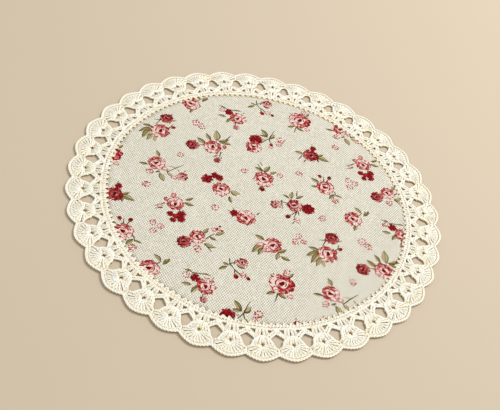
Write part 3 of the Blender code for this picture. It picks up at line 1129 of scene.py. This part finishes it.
def cloth_mesh(inks):
    """The panel: a printed upper face cut along every shape's edge, a wall and a plain back."""
    turns = np.arange(FANS * CLOTH_EDGE_STEPS) / CLOTH_EDGE_STEPS
    rim = uneven_point(turns, CLOTH_RADIUS) - MIDDLE
    shapes = draw_print()
    points = list(map(tuple, rim))
    faces = [list(range(len(rim)))]
    for loop, _ in shapes:
        faces.append(list(range(len(points), len(points) + len(loop))))
        points.extend(map(tuple, loop))
    steps = np.arange(-CLOTH_RADIUS, CLOTH_RADIUS, CLOTH_GRID)
    grid = np.array([(x, y) for x in steps for y in steps if math.hypot(x, y) < CLOTH_RADIUS - 2])
    points.extend(map(tuple, grid - MIDDLE))
    flat, _, triangles, _, _, within = triangulate(points, [], faces)

    kept = [(t, max(f)) for t, f in zip(triangles, within) if 0 in f]
    used = sorted({v for t, _ in kept for v in t})
    order = {v: i for i, v in enumerate(used)}
    upper = np.array([flat[v] for v in used])
    upper_faces = [[order[v] for v in t] for t, _ in kept]

    # the loop round the upper face, from the edges that only one triangle uses
    sides = {pair for face in upper_faces for pair in zip(face, face[1:] + face[:1])}
    following = {a: b for a, b in sides if (b, a) not in sides}
    loop = [min(following)]
    while following[loop[-1]] != loop[0]:
        loop.append(following[loop[-1]])

    back_points = np.concatenate([upper[loop], grid[::3] - MIDDLE])
    back, _, triangles, merged, _, within = triangulate(
        back_points, [], [list(range(len(loop)))])
    back = np.array([tuple(p) for p in back])
    start = len(upper)
    below = {old: start + new for new, olds in enumerate(merged) for old in olds}
    lower_faces = [[start + v for v in reversed(t)] for t, f in zip(triangles, within) if 0 in f]
    wall = []
    for i, v in enumerate(loop):
        n = (i + 1) % len(loop)
        wall.append([below[i], below[n], loop[n], v])

    top = np.column_stack([upper, cloth_height(*upper.T)])
    rise = (cloth_height(*back.T) - CLOTH_TOP) * BACK_WAVES
    low = np.column_stack([back, CLOTH_FOOT + np.maximum(rise, -BACK_DIP)])
    mesh = bpy.data.meshes.new("Printed_cloth")
    bare_faces = lower_faces + wall
    mesh.from_pydata(np.concatenate([top, low]) * MM, [], upper_faces + bare_faces)
    colours = []
    names = [None] + [ink for _, ink in shapes]
    for (_, highest), face in zip(kept, upper_faces):
        ink = inks[names[highest]] if highest else BARE_CLOTH
        colours.extend([ink] * len(face))
    colours.extend([BARE_CLOTH] * sum(map(len, bare_faces)))
    attribute = mesh.color_attributes.new(name="ink", type="FLOAT_COLOR", domain="CORNER")
    attribute.data.foreach_set("color", np.array(colours, np.float32).ravel())
    mesh.shade_smooth()
    return mesh


# Where each thread's own noise is read: so far from its neighbour's, so slowly along its
# run, and the weft's well away from the warp's.
THREAD_STEP = 3.7
SLUB_STEP = 0.16
WEFT_START = 500.0


def linen_finish(settings):
    """Plain-woven linen and cotton with uneven threads, and ink that sits on the thread tops."""
    finish = Finish("Printed_linen", Roughness=0.85, IOR=1.45)
    finish.set(Specular_IOR_Level=0.1)
    place = finish.node("TexCoord", output=3)
    cloth = finish.node(
        "Mapping", values={"Vector": place, "Rotation": (0, 0, -math.radians(WARP_TURN_DEG)),
                           "Scale": (1 / MM,) * 3})
    across, up, _ = finish.split(cloth)
    pitch = settings.thread_pitch / MM
    warp, weft = across / pitch, up / (pitch * WEFT_THICKER)

    def thread(number, run):
        """Each thread's own shade, with slubs along its run."""
        where = finish.node(
            "CombineXYZ", values={0: number.floor() * THREAD_STEP, 1: run * SLUB_STEP})
        return finish.noise(where, 1.0, 2.0, 0.6)

    warp_shade = thread(warp, weft)
    weft_shade = thread(weft + WEFT_START, warp)
    # over is 1 where the warp lies on top; cross falls to 0 along that thread's sides, where the
    # tone is darkened as painted shade
    crossing = warp.floor() + weft.floor()
    over = (crossing * math.pi + math.pi / 2).sine() * 0.5 + 0.5
    own = finish.node("TexWhiteNoise", {"noise_dimensions": "2D"}, {
        "Vector": finish.node("CombineXYZ", values={0: warp.floor(), 1: weft.floor()})})
    shade = warp_shade * over + weft_shade * (1.0 - over)
    cross = abs((warp * math.pi).sine()) * over + abs((weft * math.pi).sine()) * (1.0 - over)
    cloud = finish.noise(cloth, 0.012, 2.0)
    speck = finish.noise(cloth, 1.8, 1.0, 0.75)
    # tone: the threads' own shades, specks, warp and weft and clouds, with painted shade along the
    # threads' sides
    tone = ((shade - 0.5) * 0.8 + (speck - 0.5) * 1.6 + (over - 0.5) * (own * 0.8 + 0.50)
            + (cloud - 0.5) * 0.2 + (1.0 - cross ** 0.5) * 0.3 + 0.36).clipped()
    ground = finish.blend(tone, linear(settings.cloth_light), linear(settings.cloth_dull_and_painted_shade))
    ink = finish.node("Attribute", {"attribute_type": "GEOMETRY", "attribute_name": "ink"})
    cover = Wire(ink.socket.node.outputs["Alpha"])
    worn = (cover * 1.22 - (speck - 0.4).clipped() * 0.45 - (own - 0.5) * 0.12
            - (1.0 - cross ** 0.5) * 0.1).clipped()
    finish.set(Base_Color=finish.blend(worn, ground, ink))
    finish.bump(cross ** 0.5 * 0.7 + (shade - 0.5) * 0.8, strength=0.6)
    return finish.material


# ---------------------------------------------------------------- settings
class YarnSettings(bpy.types.PropertyGroup):
    """The crochet cotton."""

    thickness: FloatProperty(
        name="Yarn thickness", description="How thick the crochet cotton is",
        default=0.00106, min=0.0005, max=0.0014, unit="LENGTH", precision=5)
    seed: IntProperty(
        name="Hand", description="Which small unevenness the stitches have", default=3, min=0)
    # The cotton's own colour, left bare on raised yarn where no shade is painted.
    yarn_light: FloatVectorProperty(
        name="Cotton", description="The cotton where it is clean and raised",
        default=(0.970, 0.980, 1.000), subtype="COLOR", min=0, max=1)
    # The cotton's random duller tone, and the shade painted in the valleys between its plies.
    yarn_tone_and_painted_shade: FloatVectorProperty(
        name="Cotton shade", description="The cotton between its plies",
        default=(0.920, 0.850, 0.515), subtype="COLOR", min=0, max=1)
    # Painted shade: the colour painted on cotton that lies low down between the stitches.
    yarn_painted_shade: FloatVectorProperty(
        name="Deep cotton", description="The cotton low down between the stitches",
        default=(0.830, 0.665, 0.060), subtype="COLOR", min=0, max=1)


class ClothSettings(bpy.types.PropertyGroup):
    """The printed linen."""

    thread_pitch: FloatProperty(
        name="Thread pitch", description="From one thread of the weave to the next",
        default=0.00115, min=0.0003, max=0.0015, unit="LENGTH", precision=5)
    cloth_light: FloatVectorProperty(
        name="Linen", description="The pale threads", default=(0.898, 0.883, 0.828),
        subtype="COLOR", min=0, max=1)
    # The dull threads' colour, which also carries the painted shade along the threads' sides.
    cloth_dull_and_painted_shade: FloatVectorProperty(
        name="Linen shade", description="The dull threads", default=(0.640, 0.608, 0.535),
        subtype="COLOR", min=0, max=1)


class StageSettings(bpy.types.PropertyGroup):
    """The floor, the lights and the camera."""

    floor_colour: FloatVectorProperty(
        name="Floor", description="The plain floor's colour", default=(0.77, 0.71, 0.62),
        subtype="COLOR", min=0, max=1)
    key_power: FloatProperty(
        name="Key light", description="The strength of the large light", default=31.8, min=0,
        unit="POWER")
    fill: FloatProperty(
        name="Fill", description="The strength of the light from all round", default=0.75, min=0)


FLOOR_REACH = 3.0
SKY_COLOUR = (1.0, 0.997, 0.985, 1.0)
CAMERA_PLACE_MM = (-28.03, -519.62, 537.4)
CAMERA_TURN_DEG = (41.669, -12.941, 7.578)
CAMERA_LENS_MM = 58.22
CAMERA_SHIFT = (-0.0776, 0.0279)
KEY_PLACE = (1.05, 0.84, 1.68)
KEY_SIZE = 0.84


class DOILY_OT_stage(bpy.types.Operator):
    """Sets the plain floor, the soft lights and the camera at the photograph's angle"""

    bl_idname = "doily.stage"
    bl_label = "Stage"

    def execute(self, context):
        settings = context.scene.doily_stage
        scene = context.scene
        floor = bpy.data.meshes.new("Floor")
        corners = [(x * FLOOR_REACH, y * FLOOR_REACH, 0)
                   for x, y in ((-1, -1), (1, -1), (1, 1), (-1, 1))]
        floor.from_pydata(corners, [], [(0, 1, 2, 3)])
        finish = Finish("Floor_paint", Roughness=0.7, Specular_IOR_Level=0.3)
        place = finish.node("TexCoord", output=3)
        cloud = finish.noise(place, 3.0, 3.0)
        base = linear(settings.floor_colour)
        dull = tuple(c * 0.96 for c in base[:3]) + (1.0,)
        finish.set(Base_Color=finish.blend(cloud, base, dull))
        floor.materials.append(finish.material)
        put(floor)

        key = bpy.data.lights.new("Key", "AREA")
        key.shape = "DISK"
        key.size = KEY_SIZE
        key.energy = settings.key_power
        lamp = put(key)
        lamp.location = KEY_PLACE
        lamp.rotation_euler = (-lamp.location).to_track_quat("-Z", "Y").to_euler()

        world = bpy.data.worlds.new("Studio")
        world.use_nodes = True
        sky = world.node_tree.nodes["Background"]
        sky.inputs["Color"].default_value = SKY_COLOUR
        sky.inputs["Strength"].default_value = settings.fill
        scene.world = world
        scene.view_settings.view_transform = "Standard"

        camera = bpy.data.cameras.new("Camera")
        camera.lens = CAMERA_LENS_MM
        camera.shift_x, camera.shift_y = CAMERA_SHIFT
        scene.camera = put(camera)
        scene.camera.location = Vector(CAMERA_PLACE_MM) * MM
        scene.camera.rotation_euler = [math.radians(a) for a in CAMERA_TURN_DEG]
        return {"FINISHED"}


def cotton(context):
    """The cotton's finish, mixed once."""
    return bpy.data.materials.get("Cotton_yarn") or cotton_finish(context.scene.doily_yarn)


def crochet(context, name, make, number):
    """Works one round of the border and puts it in the scene."""
    settings = context.scene.doily_yarn
    rng = np.random.default_rng(settings.seed * 100 + number)
    skein = make(settings.thickness / MM, rng)
    skein.build(name, cotton(context), "cotton_yarn", "crochet_border")
    return {"FINISHED"}


class DOILY_OT_edge_stitches(bpy.types.Operator):
    """Works the stitches that hold the border to the cloth"""

    bl_idname = "doily.edge_stitches"
    bl_label = "Edge stitches"

    def execute(self, context):
        return crochet(context, "Edge_stitches", edge_round, 1)


class DOILY_OT_v_round(bpy.types.Operator):
    """Works the round of V-stitches and the chain over them"""

    bl_idname = "doily.v_round"
    bl_label = "V-stitch round"

    def execute(self, context):
        return crochet(context, "V_stitch_round", v_round, 2)


class DOILY_OT_treble_round(bpy.types.Operator):
    """Works the round of treble groups"""

    bl_idname = "doily.treble_round"
    bl_label = "Treble round"

    def execute(self, context):
        return crochet(context, "Treble_round", treble_round, 3)


class DOILY_OT_fan_round(bpy.types.Operator):
    """Works the round of fans"""

    bl_idname = "doily.fan_round"
    bl_label = "Fan round"

    def execute(self, context):
        return crochet(context, "Fan_round", fan_round, 4)


class DOILY_OT_rim_round(bpy.types.Operator):
    """Works the rim along the scalloped edge"""

    bl_idname = "doily.rim_round"
    bl_label = "Rim round"

    def execute(self, context):
        return crochet(context, "Rim_round", rim_round, 5)


class DOILY_OT_cloth(bpy.types.Operator):
    """Lays the printed linen panel"""

    bl_idname = "doily.cloth"
    bl_label = "Printed cloth"

    def execute(self, context):
        settings = context.scene.doily_cloth
        inks = {name: linear(colour)[:3] + (cover,) for name, (colour, cover) in INKS.items()}
        finish = linen_finish(settings)
        piece = set_piece(cloth_mesh(inks), finish, "printed_panel")
        return {"FINISHED"}


class DOILY_PT_panel(bpy.types.Panel):
    """The doily's pieces, in the order of making."""

    bl_idname = "DOILY_PT_panel"
    bl_label = "Lace doily"
    bl_space_type = "VIEW_3D"
    bl_region_type = "UI"
    bl_category = "Doily"

    def draw(self, context):
        for group in ("doily_stage", "doily_yarn", "doily_cloth"):
            settings = getattr(context.scene, group)
            for name in settings.bl_rna.properties.keys():
                if name not in ("rna_type", "name"):
                    self.layout.prop(settings, name)
        for operator in MAKERS:
            self.layout.operator(operator.bl_idname)


MAKERS = (
    DOILY_OT_stage, DOILY_OT_edge_stitches, DOILY_OT_v_round, DOILY_OT_treble_round,
    DOILY_OT_fan_round, DOILY_OT_rim_round, DOILY_OT_cloth,
)
GROUPS = {"doily_stage": StageSettings, "doily_yarn": YarnSettings, "doily_cloth": ClothSettings}


def register():
    for kind in (*GROUPS.values(), *MAKERS, DOILY_PT_panel):
        bpy.utils.register_class(kind)
    for name, kind in GROUPS.items():
        setattr(bpy.types.Scene, name, PointerProperty(type=kind))


def unregister():
    for name in GROUPS:
        delattr(bpy.types.Scene, name)
    for kind in (DOILY_PT_panel, *reversed(MAKERS), *GROUPS.values()):
        bpy.utils.unregister_class(kind)


def main():
    register()
    for maker in MAKERS:
        category, name = maker.bl_idname.split(".")
        getattr(getattr(bpy.ops, category), name)()
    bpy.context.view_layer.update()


if __name__ == "__main__":
    main()
